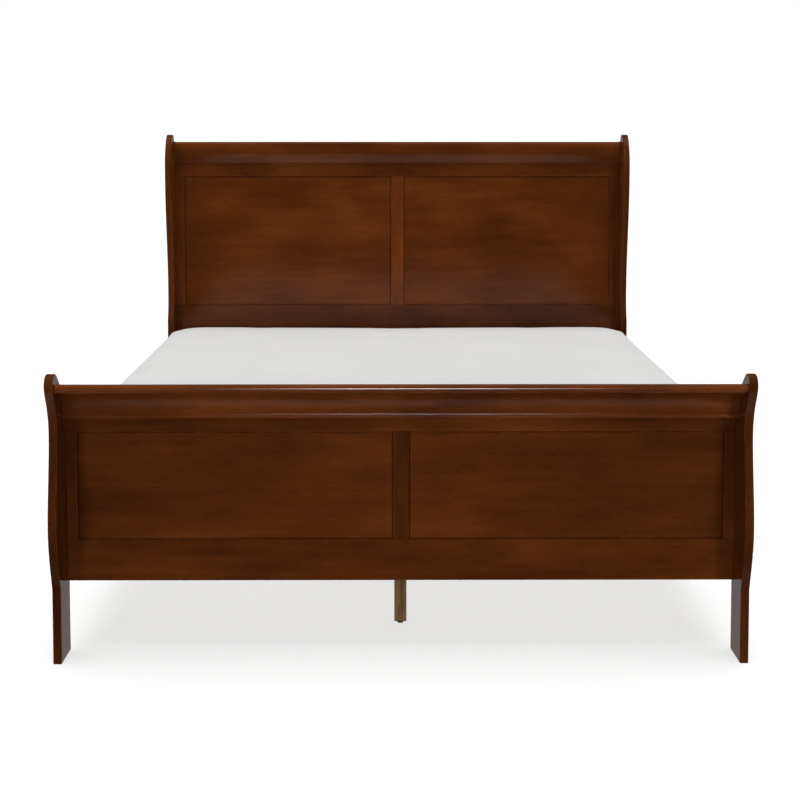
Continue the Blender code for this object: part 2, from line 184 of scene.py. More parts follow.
def copy_of_node(node, name):
    """A separate object with the shape of a CAD node, its loose triangles merged into flat faces."""
    piece = bpy.data.objects.new(name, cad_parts[node].data.copy())
    bpy.context.scene.collection.objects.link(piece)
    piece.data.name = name
    pick(piece)
    bpy.ops.mesh.customdata_custom_splitnormals_clear()
    bpy.ops.object.mode_set(mode="EDIT")
    bpy.ops.mesh.select_all(action="SELECT")
    bpy.ops.mesh.remove_doubles(threshold=WELD_DISTANCE)
    bpy.ops.mesh.mark_sharp(clear=True)
    bpy.ops.mesh.dissolve_limited(angle_limit=FLAT_WITHIN, delimit=set())
    bpy.ops.object.mode_set(mode="OBJECT")
    return piece


def ease_edges(piece, width, sharper_than=40, segments=2):
    """Rounds every sharp edge of a piece, as sanding does."""
    pick(piece)
    bevel = piece.modifiers.new("Eased", "BEVEL")
    bevel.width = width
    bevel.segments = segments
    bevel.limit_method = "ANGLE"
    bevel.angle_limit = math.radians(sharper_than)
    bevel.miter_outer = "MITER_ARC"
    bevel.use_clamp_overlap = True
    bpy.ops.object.modifier_apply(modifier=bevel.name)


def smooth(piece, angle=35):
    """Shades a piece smooth, with the broad faces kept flat and the turn left to the narrow ones."""
    pick(piece)
    bpy.ops.object.shade_smooth_by_angle(angle=math.radians(angle))
    flatter = piece.modifiers.new("Flatter", "WEIGHTED_NORMAL")
    flatter.weight = 100
    flatter.keep_sharp = True
    bpy.ops.object.modifier_apply(modifier=flatter.name)


def mark_rubbed(piece, strip=0.0014):
    """Stores 1 in the point attribute "rubbed" on the strips that round an edge, and 0 elsewhere.

    A face counts as such a strip when its mean width is under strip.
    """
    shape = bmesh.new()
    shape.from_mesh(piece.data)
    narrow = {}
    for face in shape.faces:
        longest = max(edge.calc_length() for edge in face.edges)
        narrow[face] = face.calc_area() < strip * longest
    marks = [float(all(narrow[face] for face in vert.link_faces)) for vert in shape.verts]
    shape.free()
    attribute = piece.data.attributes.new("rubbed", "FLOAT", "POINT")
    attribute.data.foreach_set("value", marks)


def dress(piece, material, body, slot, *nodes):
    """Gives a finished piece its material and its body, and hides the CAD nodes that it stands for. slot is
    not used.
    """
    piece.data.materials.clear()
    piece.data.materials.append(material)
    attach(piece, body)
    if nodes:
        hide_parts(*nodes)
    return piece


def finished_board(node, material, slot, edge):
    """A wooden CAD node as a sanded and finished board."""
    piece = copy_of_node(node, node + "_finished")
    ease_edges(piece, edge)
    smooth(piece)
    mark_rubbed(piece)
    # Each board's shade: partly its stain, partly painted light and shade
    shade = next((value for start, value in BOARD_STAIN_AND_SHADE.items() if node.startswith(start)), 1.0)
    attribute = piece.data.attributes.new("shade", "FLOAT", "POINT")
    attribute.data.foreach_set("value", [shade] * len(piece.data.vertices))
    return dress(piece, material, BED, slot, node)


# Shader groups


def new_group(name, inputs, outputs):
    """An empty shader group. inputs and outputs give each socket's name, type and default."""
    group = bpy.data.node_groups.new(name, "ShaderNodeTree")
    for direction, sockets in (("INPUT", inputs), ("OUTPUT", outputs)):
        for label, kind, default in sockets:
            socket = group.interface.new_socket(label, in_out=direction, socket_type="NodeSocket" + kind)
            if default is not None:
                socket.default_value = default
    return group, group.nodes.new("NodeGroupInput"), group.nodes.new("NodeGroupOutput")


def add_node(tree, kind, settings=None, **inputs):
    """A shader node with its settings, and each input set to a value or linked from another node's output."""
    node = tree.nodes.new("ShaderNode" + kind)
    for key, value in (settings or {}).items():
        setattr(node, key, value)
    for label, value in inputs.items():
        index = int(label[1:]) if label[0] == "i" and label[1:].isdigit() else label.replace("_", " ")
        if isinstance(value, bpy.types.NodeSocket):
            tree.links.new(value, node.inputs[index])
        else:
            node.inputs[index].default_value = value
    return node


def math_node(tree, operation, first, second=0.0, clamp=False):
    """The result of one sum on two values."""
    settings = {"operation": operation, "use_clamp": clamp}
    return add_node(tree, "Math", settings, i0=first, i1=second).outputs[0]


def weighted_sum(tree, *terms):
    """Adds up values, each times its weight."""
    total = None
    for value, weight in terms:
        part = math_node(tree, "MULTIPLY", value, weight)
        total = part if total is None else math_node(tree, "ADD", total, part)
    return total


def mix_color(tree, factor, first, second, blend="MIX"):
    """Two colours mixed by a factor."""
    node = tree.nodes.new("ShaderNodeMix")
    node.data_type = "RGBA"
    node.blend_type = blend
    for index, value in ((0, factor), (6, first), (7, second)):
        if isinstance(value, bpy.types.NodeSocket):
            tree.links.new(value, node.inputs[index])
        else:
            node.inputs[index].default_value = value
    return node.outputs[2]


def stretched(tree, vector, along, across):
    """A vector scaled along the grain, its X, and across it."""
    scale = (along, across, across)
    return add_node(tree, "VectorMath", {"operation": "MULTIPLY"}, i0=vector, i1=scale).outputs[0]


def noise(tree, vector, scale, detail=2.0, roughness=0.5, distortion=0.0):
    """A soft random value over the surface."""
    node = add_node(
        tree, "TexNoise",
        Vector=vector, Scale=scale, Detail=detail, Roughness=roughness, Distortion=distortion,
    )
    return node.outputs[0]


def spread(tree, value, low, high, to_low=0.0, to_high=1.0):
    """Goes smoothly from to_low to to_high as the value goes from low to high."""
    node = add_node(
        tree, "MapRange", {"interpolation_type": "SMOOTHSTEP"},
        i0=value, i1=low, i2=high, i3=to_low, i4=to_high
    )
    return node.outputs[0]


GRAIN_WANDER = 0.16  # how far the grain strays sideways
STREAK_RELIEF = 0.35  # height of the streaks where a pore is 1 deep


def wood_grain_group():
    """Broad figure, fine streaks and pores of a board whose grain runs along the vector's X."""
    group, source, result = new_group(
        "wood_grain",
        (("Vector", "Vector", None), ("Figure Scale", "Float", 6.0), ("Streak Scale", "Float", 55.0)),
        (("Figure", "Float", None), ("Blotches", "Float", None), ("Streaks", "Float", None),
         ("Pores", "Float", None), ("Height", "Float", None)),
    )
    vector = source.outputs["Vector"]
    wander = noise(group, stretched(group, vector, along=0.8, across=1.6), 1.7)
    bend = add_node(group, "CombineXYZ", Y=math_node(group, "MULTIPLY", wander, GRAIN_WANDER)).outputs[0]
    bent = add_node(group, "VectorMath", {"operation": "ADD"}, i0=vector, i1=bend).outputs[0]
    figure = noise(
        group, stretched(group, bent, along=0.16, across=1.0), source.outputs["Figure Scale"],
        detail=5.0, roughness=0.58, distortion=0.5,
    )
    blotches = noise(group, stretched(group, bent, along=0.42, across=1.0), 8.0, detail=4.0, roughness=0.55)
    streaks = noise(
        group, stretched(group, bent, along=0.030, across=1.0), source.outputs["Streak Scale"],
        detail=3.0, roughness=0.6,
    )
    specks = noise(group, stretched(group, bent, along=0.055, across=1.0), 620.0, detail=1.0)
    pores = spread(group, specks, 0.60, 0.72)
    ridges = math_node(group, "MULTIPLY", streaks, STREAK_RELIEF)
    height = math_node(group, "SUBTRACT", ridges, pores)
    values = {"Figure": figure, "Blotches": blotches, "Streaks": streaks, "Pores": pores, "Height": height}
    for label, value in values.items():
        group.links.new(value, result.inputs[label])
    return group


def handling_group():
    """Where handling shows: a broken mask along rubbed edges, and faint smudges all over."""
    group, source, result = new_group(
        "handling_wear",
        (("Vector", "Vector", None), ("Rubbed", "Float", 0.0), ("Amount", "Float", 0.5)),
        (("Edge", "Float", None), ("Smudge", "Float", None)),
    )
    vector = source.outputs["Vector"]
    patches = spread(group, noise(group, vector, 22.0, detail=4.0, roughness=0.65), 0.40, 0.66)
    broken = math_node(group, "MULTIPLY", patches, source.outputs["Rubbed"])
    worn = math_node(group, "MULTIPLY", broken, source.outputs["Amount"], clamp=True)
    smudge = noise(group, vector, 7.0, detail=5.0, roughness=0.6)
    group.links.new(worn, result.inputs["Edge"])
    group.links.new(smudge, result.inputs["Smudge"])
    return group


def place_group(tree, group, **inputs):
    """Places a shader group in a material, with each input set or linked."""
    node = add_node(tree, "Group", {"node_tree": group})
    for label, value in inputs.items():
        socket = node.inputs[label.replace("_", " ")]
        if isinstance(value, bpy.types.NodeSocket):
            tree.links.new(value, socket)
        else:
            socket.default_value = value
    return node


# Materials


def new_material(name, roughness, metallic=0.0, specular=0.5):
    """A material with its node tree and its main shader."""
    material = bpy.data.materials.new(name)
    material.use_nodes = True
    tree = material.node_tree
    shader = tree.nodes["Principled BSDF"]
    shader.inputs["Roughness"].default_value = roughness
    shader.inputs["Metallic"].default_value = metallic
    shader.inputs["Specular IOR Level"].default_value = specular
    return material, tree, shader


def color_ramp(tree, factor, stops):
    """A colour chosen by a factor, from stops of position and colour."""
    ramp = add_node(tree, "ValToRGB", Fac=factor)
    elements = ramp.color_ramp.elements
    while len(elements) < len(stops):
        elements.new(0.5)
    for element, (position, color) in zip(elements, stops):
        element.position = position
        element.color = (*color, 1.0)
    return ramp.outputs[0]


def bump(tree, shader, height, strength, distance):
    """Gives a shader fine relief. distance is in metres."""
    node = add_node(tree, "Bump", Height=height, Strength=strength, Distance=distance)
    tree.links.new(node.outputs[0], shader.inputs["Normal"])


SMUDGE_RANGE = (0.35, 0.65)


def smudged_roughness(tree, shader, wear, low, high):
    """Lets a shader's roughness go from low to high with the smudges of handling."""
    rough = spread(tree, wear.outputs["Smudge"], *SMUDGE_RANGE, low, high)
    tree.links.new(rough, shader.inputs["Roughness"])


# How the grain pattern turns for each way that a board's grain can run
GRAIN_TURNS = {
    "across": (0, 0, 0),
    "upright": (0, math.radians(90), 0),
    "lengthwise": (0, 0, math.radians(-90)),
}

FIGURE_SHARE = 0.40
BLOTCH_SHARE = 0.42
STREAK_SHARE = 0.18
STAIN_REACH = 0.13  # from the middle stain to the dark and the light one
PORE_DARKNESS = 0.35
PEEL_RELIEF = 0.7  # relief of the sprayed lacquer beside the grain's


def stained_cherry(
    name, run, look, groups, start=(0, 0, 0), figure_scale=6.0, tone=1.0, contrast=1.0, edges=1.0
):
    """Brown-stained cherry under semi-gloss lacquer.

    run is the way its grain goes. edges is how much darker a post's sawn outline is painted than its
    broad faces: painted shade on the faces that don't point sideways.
    """
    material, tree, shader = new_material(name, 0.42, specular=0.0)
    place = add_node(tree, "TexCoord").outputs["Object"]
    turned = add_node(tree, "Mapping", Vector=place, Rotation=GRAIN_TURNS[run], Location=start).outputs[0]
    grain = place_group(tree, groups["grain"], Vector=turned, Figure_Scale=figure_scale)
    rubbed = add_node(tree, "Attribute", {"attribute_name": "rubbed"}).outputs["Fac"]
    wear = place_group(tree, groups["wear"], Vector=place, Rubbed=rubbed, Amount=0.55)
    mixed = weighted_sum(
        tree,
        (grain.outputs["Figure"], FIGURE_SHARE),
        (grain.outputs["Blotches"], BLOTCH_SHARE),
        (grain.outputs["Streaks"], STREAK_SHARE),
    )
    middle = 0.50
    reach = STAIN_REACH / contrast
    stops = (
        (middle - reach, [c * tone for c in look.stain_dark]),
        (middle, [c * tone for c in look.stain_middle]),
        (middle + reach, [c * tone for c in look.stain_light]),
    )
    color = color_ramp(tree, mixed, stops)
    pores = math_node(tree, "MULTIPLY", grain.outputs["Pores"], PORE_DARKNESS)
    color = mix_color(tree, pores, color, (*[c * 0.5 for c in look.stain_dark], 1.0))
    # Each board's shade attribute: partly stain tone, partly painted light and shade
    shade = add_node(tree, "Attribute", {"attribute_name": "shade"}).outputs["Fac"]
    # Painted shade: faces that don't point along X, a post's outline, are darkened to edges of their colour
    if edges != 1.0:
        normal = add_node(tree, "TexCoord").outputs["Normal"]
        facing = add_node(tree, "SeparateXYZ", Vector=normal).outputs[0]
        broad = spread(tree, math_node(tree, "ABSOLUTE", facing), 0.55, 0.95, edges, 1.0)
        shade = math_node(tree, "MULTIPLY", shade, broad)
    tinted = add_node(tree, "CombineXYZ", X=shade, Y=shade, Z=shade).outputs[0]
    color = mix_color(tree, 1.0, color, tinted, blend="MULTIPLY")
    color = mix_color(tree, wear.outputs["Edge"], color, (*look.rubbed, 1.0))
    tree.links.new(color, shader.inputs["Base Color"])
    smudged_roughness(tree, shader, wear, 0.36, 0.50)
    coat_lost = math_node(tree, "MULTIPLY", wear.outputs["Edge"], 0.5)
    coat = math_node(tree, "SUBTRACT", look.lacquer, coat_lost)
    tree.links.new(coat, shader.inputs["Coat Weight"])
    shader.inputs["Coat Roughness"].default_value = 0.13
    shader.inputs["Coat IOR"].default_value = 1.45
    peel = math_node(tree, "MULTIPLY", noise(tree, place, 420.0), PEEL_RELIEF)
    height = math_node(tree, "ADD", grain.outputs["Height"], peel)
    bump(tree, shader, height, strength=0.18, distance=0.0004)
    return material


def bare_pine(name, groups):
    """Planed, unfinished pine across the bed."""
    material, tree, shader = new_material(name, 0.62, specular=0.35)
    place = add_node(tree, "TexCoord").outputs["Object"]
    grain = place_group(tree, groups["grain"], Vector=place, Figure_Scale=16.0, Streak_Scale=90.0)
    wear = place_group(tree, groups["wear"], Vector=place)
    mixed = weighted_sum(tree, (grain.outputs["Figure"], 0.6), (grain.outputs["Streaks"], 0.4))
    stops = ((0.34, (0.36, 0.20, 0.085)), (0.50, (0.56, 0.37, 0.19)), (0.64, (0.66, 0.48, 0.28)))
    color = color_ramp(tree, mixed, stops)
    long_knots = stretched(tree, place, along=0.5, across=1.0)
    knots = add_node(tree, "TexVoronoi", {"feature": "F1"}, Vector=long_knots, Scale=4.5)
    knot = spread(tree, knots.outputs["Distance"], 0.055, 0.025)
    color = mix_color(tree, math_node(tree, "MULTIPLY", knot, 0.8), color, (0.13, 0.055, 0.02, 1.0))
    tree.links.new(color, shader.inputs["Base Color"])
    smudged_roughness(tree, shader, wear, 0.55, 0.70)
    bump(tree, shader, grain.outputs["Height"], strength=0.35, distance=0.0005)
    return material


def stained_leg(name, groups):
    """Hardwood with a thin, matt brown stain, for the centre legs."""
    material, tree, shader = new_material(name, 0.50, specular=0.4)
    place = add_node(tree, "TexCoord").outputs["Object"]
    turned = add_node(tree, "Mapping", Vector=place, Rotation=GRAIN_TURNS["upright"]).outputs[0]
    grain = place_group(tree, groups["grain"], Vector=turned, Figure_Scale=22.0, Streak_Scale=140.0)
    wear = place_group(tree, groups["wear"], Vector=place)
    stops = ((0.36, (0.125, 0.066, 0.026)), (0.50, (0.185, 0.105, 0.045)), (0.66, (0.25, 0.150, 0.070)))
    color = color_ramp(tree, grain.outputs["Streaks"], stops)
    pores = math_node(tree, "MULTIPLY", grain.outputs["Pores"], 0.5)
    color = mix_color(tree, pores, color, (0.05, 0.026, 0.011, 1))
    tree.links.new(color, shader.inputs["Base Color"])
    smudged_roughness(tree, shader, wear, 0.42, 0.60)
    bump(tree, shader, grain.outputs["Height"], strength=0.25, distance=0.0004)
    return material


def zinc_plate(name, groups):
    """Zinc-plated steel with faint spangle and handling marks."""
    material, tree, shader = new_material(name, 0.36, metallic=1.0)
    place = add_node(tree, "TexCoord").outputs["Object"]
    wear = place_group(tree, groups["wear"], Vector=place)
    spangle = add_node(tree, "TexVoronoi", Vector=place, Scale=160.0).outputs["Color"]
    tint = add_node(tree, "RGBToBW", Color=spangle).outputs[0]
    color = color_ramp(tree, tint, ((0.0, (0.50, 0.50, 0.49)), (1.0, (0.66, 0.66, 0.63))))
    tree.links.new(color, shader.inputs["Base Color"])
    smudged_roughness(tree, shader, wear, 0.28, 0.46)
    bump(tree, shader, noise(tree, place, 900.0), strength=0.06, distance=0.0002)
    return material


SCUFF_HEIGHT = 0.0030


def moulded_black(name, groups):
    """Black moulded plastic, scuffed underneath."""
    material, tree, shader = new_material(name, 0.42, specular=0.4)
    place = add_node(tree, "TexCoord").outputs["Object"]
    wear = place_group(tree, groups["wear"], Vector=place)
    height = add_node(tree, "SeparateXYZ", Vector=place).outputs[2]
    near_floor = spread(tree, height, SCUFF_HEIGHT, 0.0)
    patches = spread(tree, noise(tree, place, 500.0, detail=3.0), 0.45, 0.65)
    scuff = math_node(tree, "MULTIPLY", near_floor, patches)
    color = mix_color(tree, scuff, (0.010, 0.010, 0.010, 1.0), (0.055, 0.052, 0.048, 1.0))
    tree.links.new(color, shader.inputs["Base Color"])
    smudged_roughness(tree, shader, wear, 0.35, 0.50)
    bump(tree, shader, noise(tree, place, 2500.0, detail=1.0), strength=0.12, distance=0.0001)
    return material


def knit_cover(name, look, ribs=520.0, tint=1.0):
    """White knitted ticking: crossing lines of stitches with painted shade in their hollows, and a soft nap.
    More ribs are finer.
    """
    material, tree, shader = new_material(name, 0.88, specular=0.25)
    shader.inputs["Sheen Weight"].default_value = 0.25
    shader.inputs["Sheen Roughness"].default_value = 0.5
    place = add_node(tree, "TexCoord").outputs["Object"]
    parts = add_node(tree, "SeparateXYZ", Vector=place).outputs
    over = math_node(tree, "ADD", parts[0], parts[1])
    columns = math_node(tree, "SINE", math_node(tree, "MULTIPLY", over, ribs * 2))
    back = math_node(tree, "SUBTRACT", parts[1], parts[0])
    up = math_node(tree, "ADD", back, parts[2])
    rows = math_node(tree, "SINE", math_node(tree, "MULTIPLY", up, ribs * 3))
    stitches = math_node(tree, "ADD", columns, math_node(tree, "MULTIPLY", rows, 0.7))
    nap = noise(tree, place, 240.0, detail=3.0)
    shade = spread(tree, noise(tree, place, 3.0, detail=3.0), 0.3, 0.7, 0.965 * tint, 1.0 * tint)
    # Painted shade: the colour is up to 7% darker where the stitches sink
    hollow_shade = spread(tree, stitches, -1.7, 0.6, 0.93, 1.0)
    strength = math_node(tree, "MULTIPLY", shade, hollow_shade)
    color = mix_color(tree, strength, (0.0, 0.0, 0.0, 1.0), (*look.cover, 1.0))
    tree.links.new(color, shader.inputs["Base Color"])
    height = math_node(tree, "ADD", math_node(tree, "MULTIPLY", stitches, 0.5), nap)
    bump(tree, shader, height, strength=0.22, distance=0.0005)
    return material


def make_materials(scene):
    """Builds every material once. Later calls reuse them by name."""
    if "cherry_across" in bpy.data.materials:
        return
    groups = {"grain": wood_grain_group(), "wear": handling_group()}
    wood = scene.sleigh_wood
    stained_cherry("cherry_across", "across", wood, groups)
    stained_cherry("cherry_upright", "upright", wood, groups, start=(0.6, 0.2, 0.4), figure_scale=9.0)
    # The posts' outlines get painted shade, 0.85 of their broad faces' colour
    stained_cherry("cherry_post", "upright", wood, groups, start=(0.2, 0.5, 0.1), figure_scale=9.0,
                   edges=0.85)
    stained_cherry("cherry_lengthwise", "lengthwise", wood, groups, start=(0.1, 0.7, 0.2))
    stained_cherry("cherry_veneer_panel", "across", wood, groups, start=(0.35, 0.9, 1.7), figure_scale=4.6,
                   tone=1.12, contrast=0.85)
    bare_pine("planed_pine", groups)
    stained_leg("brown_stained_leg", groups)
    zinc_plate("zinc_plated_steel", groups)
    moulded_black("moulded_black_plastic", groups)
    knit_cover("knit_ticking", scene.sleigh_mattress)
    knit_cover("piping_tape", scene.sleigh_mattress, ribs=900.0, tint=0.97)


def material_named(name):
    """A finished material, built first if none is yet."""
    make_materials(bpy.context.scene)
    return bpy.data.materials[name]


# Wooden pieces


def board_material(node):
    """The material whose grain runs the way this board's does."""
    if "panel" in node:
        return material_named("cherry_veneer_panel")
    if "post" in node:
        return material_named("cherry_post")
    if "stile" in node or "mullion" in node:
        return material_named("cherry_upright")
    return material_named("cherry_across")


class SLEIGHBED_OT_finish_end_boards(bpy.types.Operator):
    """Sands and lacquers the posts, crests, frames and panels of both end boards"""

    bl_idname = "sleigh_bed.finish_end_boards"
    bl_label = "Finish End Boards"

    def execute(self, context):
        edge = context.scene.sleigh_wood.edge
        members = [f"{part}_{side}" for part in ("post", "stile", "panel") for side in SIDES]
        members += ["crest", "top_rail", "bottom_rail", "mullion"]
        for end in ENDS:
            for member in members:
                node = f"{end}_{member}"
                slot = "cherry_veneer" if "panel" in member else "cherry_lacquer"
                finished_board(node, board_material(node), slot, edge)
        return {"FINISHED"}


class SLEIGHBED_OT_finish_side_rails(bpy.types.Operator):
    """Sands and lacquers the two side rails"""

    bl_idname = "sleigh_bed.finish_side_rails"
    bl_label = "Finish Side Rails"

    def execute(self, context):
        for side in SIDES:
            finished_board("side_rail_" + side, material_named("cherry_lengthwise"), "cherry_lacquer",
                           context.scene.sleigh_wood.edge)
        return {"FINISHED"}


class SLEIGHBED_OT_finish_slats(bpy.types.Operator):
    """Finishes the slats and the cleats that they lie on"""

    bl_idname = "sleigh_bed.finish_slats"
    bl_label = "Finish Slats"

    def execute(self, context):
        nodes = [f"slat_{number}" for number in range(1, SLAT_COUNT + 1)]
        nodes += ["slat_cleat_" + side for side in SIDES]
        for node in nodes:
            finished_board(node, material_named("planed_pine"), "slat_pine", context.scene.sleigh_wood.edge)
        return {"FINISHED"}


class SLEIGHBED_OT_finish_support_legs(bpy.types.Operator):
    """Finishes the centre legs"""

    bl_idname = "sleigh_bed.finish_support_legs"
    bl_label = "Finish Centre Legs"

    def execute(self, context):
        for number in range(1, SLAT_COUNT + 1):
            finished_board(f"support_leg_{number}", material_named("brown_stained_leg"), "leg_stain",
                           context.scene.sleigh_wood.edge)
        return {"FINISHED"}


# Fittings


def extrude_up(rise, scale=1.0, level=0.0):
    """Extrudes the selected end face by rise, then scales it about the Z axis."""
    bpy.ops.mesh.extrude_region_move(TRANSFORM_OT_translate={"value": (0, 0, rise)})
    if scale != 1.0:
        bpy.ops.transform.resize(value=(scale, scale, 1), center_override=(0, 0, level))


def select_top_face(piece):
    """Leaves only the highest face of a mesh selected, in edit mode."""
    bpy.ops.object.mode_set(mode="OBJECT")
    end = max(piece.data.polygons, key=lambda face: face.center.z)
    for item in (*piece.data.vertices, *piece.data.edges, *piece.data.polygons):
        item.select = False
    end.select = True
    bpy.ops.object.mode_set(mode="EDIT")
    bpy.ops.mesh.select_mode(type="FACE")


def turned_bar(name, radius, low, high, sides):
    """A round bar along Z, from low to high."""
    bpy.ops.object.select_all(action="DESELECT")
    bpy.ops.mesh.primitive_cylinder_add(
        vertices=sides, radius=radius, depth=high - low, location=(0, 0, (low + high) / 2)
    )
    piece = bpy.context.object
    piece.name = piece.data.name = name
    bpy.ops.object.transform_apply()
    return piece


def hex_outline(angle):
    """How far a hexagon's edge is from its centre at an angle, where its flats are 1 away."""
    sixth = math.tau / 6
    return 1 / math.cos((angle + sixth / 2) % sixth - sixth / 2)


BOLT_LENGTH = 0.0176
BOLT_SHANK = 0.0030
BOLT_FLATS = 0.0051  # from the axis to a flat of the head
BOLT_WASHER = 0.0064  # radius of the washer face
BOLT_WASHER_RISE = 0.0007
BOLT_HEAD = 0.0030
BOLT_CHAMFER = 0.0006
BOLT_CROWN = 1.06  # radius of the chamfered top, where the flats are 1 away
BOLT_EASE = 0.00018


def bolt_shape(name):
    """A hexagon bolt with a washer face, standing head up with its seat at the origin."""
    piece = turned_bar(name, BOLT_SHANK, -BOLT_LENGTH, 0, 48)
    select_top_face(piece)
    extrude_up(0, BOLT_WASHER / BOLT_SHANK)
    extrude_up(BOLT_WASHER_RISE)
    extrude_up(0, BOLT_FLATS / BOLT_WASHER, BOLT_WASHER_RISE)
    extrude_up(BOLT_HEAD - BOLT_WASHER_RISE - BOLT_CHAMFER)
    extrude_up(BOLT_CHAMFER)
    bpy.ops.object.mode_set(mode="OBJECT")
    for vert in piece.data.vertices:
        place = vert.co
        if place.z > BOLT_WASHER_RISE / 2 and place.xy.length < (BOLT_FLATS + BOLT_WASHER) / 2:
            outline = hex_outline(math.atan2(place.y, place.x))
            if place.z > BOLT_HEAD - BOLT_CHAMFER / 2:
                outline = min(outline, BOLT_CROWN)
            place.xy = place.xy * outline
    ease_edges(piece, BOLT_EASE, sharper_than=25)
    return piece


def place_bolt(shape, node, seat, toward):
    """Copies the bolt to its seat, its head pointing the way of toward, and applies its place."""
    piece = shape.copy()
    piece.data = shape.data.copy()
    piece.name = piece.data.name = node + "_hex"
    bpy.context.scene.collection.objects.link(piece)
    piece.rotation_euler = Vector(toward).to_track_quat("Z", "Y").to_euler()
    piece.location = seat
    pick(piece)
    bpy.ops.object.transform_apply()
    smooth(piece, 30)
    return dress(piece, material_named("zinc_plated_steel"), BED, "zinc_steel", node)


class SLEIGHBED_OT_make_fittings(bpy.types.Operator):
    """Makes the corner angles, the joint plates and their bolts"""

    bl_idname = "sleigh_bed.make_fittings"
    bl_label = "Make Fittings"

    def execute(self, context):
        for side in SIDES:
            for node in ("foot_corner_angle_" + side, "head_joint_plate_" + side):
                piece = copy_of_node(node, node + "_plated")
                ease_edges(piece, 0.0005, sharper_than=50)
                smooth(piece)
                dress(piece, material_named("zinc_plated_steel"), BED, "zinc_steel", node)
        shape = bolt_shape("bolt_shape")
        for side, direction in zip(SIDES, (-1, 1)):
            for level in LEVELS:
                node = f"foot_bolt_{side}_{level}"
                low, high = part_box(node)
                seat = Vector(((low.x + high.x) / 2, high.y - BOLT_HEAD, (low.z + high.z) / 2))
                place_bolt(shape, node, seat, (0, 1, 0))
                node = f"head_bolt_{side}_{level}"
                low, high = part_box(node)
                seat_x = low.x + BOLT_HEAD if direction > 0 else high.x - BOLT_HEAD
                seat = Vector((seat_x, (low.y + high.y) / 2, (low.z + high.z) / 2))
                place_bolt(shape, node, seat, (-direction, 0, 0))
        bpy.data.objects.remove(shape)
        return {"FINISHED"}


class SLEIGHBED_OT_make_glides(bpy.types.Operator):
    """Makes the domed glide under each centre leg"""

    bl_idname = "sleigh_bed.make_glides"
    bl_label = "Make Glides"

    def execute(self, context):
        for number in range(1, SLAT_COUNT + 1):
            node = f"leveling_glide_{number}"
            piece = copy_of_node(node, node + "_moulded")
            ease_edges(piece, 0.0004, sharper_than=50, segments=3)
            pick(piece)
            rounded = piece.modifiers.new("Rounded", "SUBSURF")
            rounded.levels = rounded.render_levels = 1
            rounded.boundary_smooth = "PRESERVE_CORNERS"
            bpy.ops.object.modifier_apply(modifier=rounded.name)
            smooth(piece, 50)
            dress(piece, material_named("moulded_black_plastic"), f"glide_{number}", "black_plastic", node)
        return {"FINISHED"}


# Mattress


def mesh_points(piece):
    """A mesh's points, one row each."""
    flat = np.empty(len(piece.data.vertices) * 3)
    piece.data.vertices.foreach_get("co", flat)
    return flat.reshape(-1, 3)


def set_points(piece, points):
    """Moves a mesh's points to these places."""
    piece.data.vertices.foreach_set("co", points.ravel())
    piece.data.update()


FILLING_PRESSURE = 4
FILLING_FRAMES = 20


def fill_with_foam(piece, look):
    """Blows the cover up from inside, as its filling does, and limits how far each point moves."""
    scene = bpy.context.scene
    start = mesh_points(piece)
    cloth = piece.modifiers.new("Filling", "CLOTH")
    cloth.settings.use_pressure = True
    cloth.settings.uniform_pressure_force = FILLING_PRESSURE
    cloth.settings.quality = 5
    cloth.settings.effector_weights.gravity = 0
    cloth.point_cache.frame_end = FILLING_FRAMES
    for number in range(1, FILLING_FRAMES + 1):
        scene.frame_set(number)
    pick(piece)
    bpy.ops.object.modifier_apply(modifier=cloth.name)
    scene.frame_set(1)
    moved = mesh_points(piece) - start
    moved[:, :2] *= look.side_share
    length = np.linalg.norm(moved, axis=1, keepdims=True)
    capped = look.swell * np.tanh(length / look.swell)
    set_points(piece, start + moved * capped / np.maximum(length, 1e-9))


def outline_offset(points, half, corner):
    """How far each point is outside a rounded rectangle about the origin, and which way is out."""
    beyond = np.abs(points[:, :2]) - (half - corner)
    outside = np.maximum(beyond, 0)
    reach = np.linalg.norm(outside, axis=1)
    inner = np.minimum(beyond.max(axis=1), 0)
    distance = reach + inner - corner
    straight = (beyond.argmax(axis=1)[:, None] == np.arange(2)).astype(float)
    way = np.where(reach[:, None] > 1e-9, outside / np.maximum(reach[:, None], 1e-9), straight)
    return distance, way * np.sign(points[:, :2])


SEAM_WIDTH = 0.013  # how far above and below a seam its pull fades
SEAM_REACH = 0.05  # points farther in or out than this stay


def pull_in_seams(piece, look, heights, half):
    """Draws the sides in to one even line at each piped seam."""
    points = mesh_points(piece)
    middle = np.array(MATTRESS_MIDDLE)
    distance, way = outline_offset(points - middle, half - look.seam_inset, MATTRESS_CORNER)
    for height in heights:
        near = np.exp(-(((points[:, 2] - height) / SEAM_WIDTH) ** 2))
        near = np.where(np.abs(distance) < SEAM_REACH, near, 0)
        points[:, :2] -= way * (distance * near)[:, None]
        distance, way = outline_offset(points - middle, half - look.seam_inset, MATTRESS_CORNER)
    set_points(piece, points)


def piping_ring(name, look, height, half):
    """Round piping along a seam: a rectangle with rounded corners, given thickness."""
    bpy.ops.object.select_all(action="DESELECT")
    bpy.ops.mesh.primitive_plane_add(size=2, location=(MATTRESS_MIDDLE.x, MATTRESS_MIDDLE.y, height))
    ring = bpy.context.object
    ring.name = ring.data.name = name
    ring.scale = (half[0] - look.seam_inset, half[1] - look.seam_inset, 1)
    bpy.ops.object.transform_apply()
    bpy.ops.object.mode_set(mode="EDIT")
    bpy.ops.mesh.select_all(action="SELECT")
    bpy.ops.mesh.delete(type="ONLY_FACE")
    bpy.ops.mesh.select_all(action="SELECT")
    bpy.ops.mesh.bevel(offset=MATTRESS_CORNER, offset_type="OFFSET", segments=16, affect="VERTICES")
    bpy.ops.object.mode_set(mode="OBJECT")
    bpy.ops.object.convert(target="CURVE")
    ring.data.bevel_depth = look.piping
    ring.data.bevel_resolution = 3
    bpy.ops.object.convert(target="MESH")
    smooth(ring, 60)
    return ring


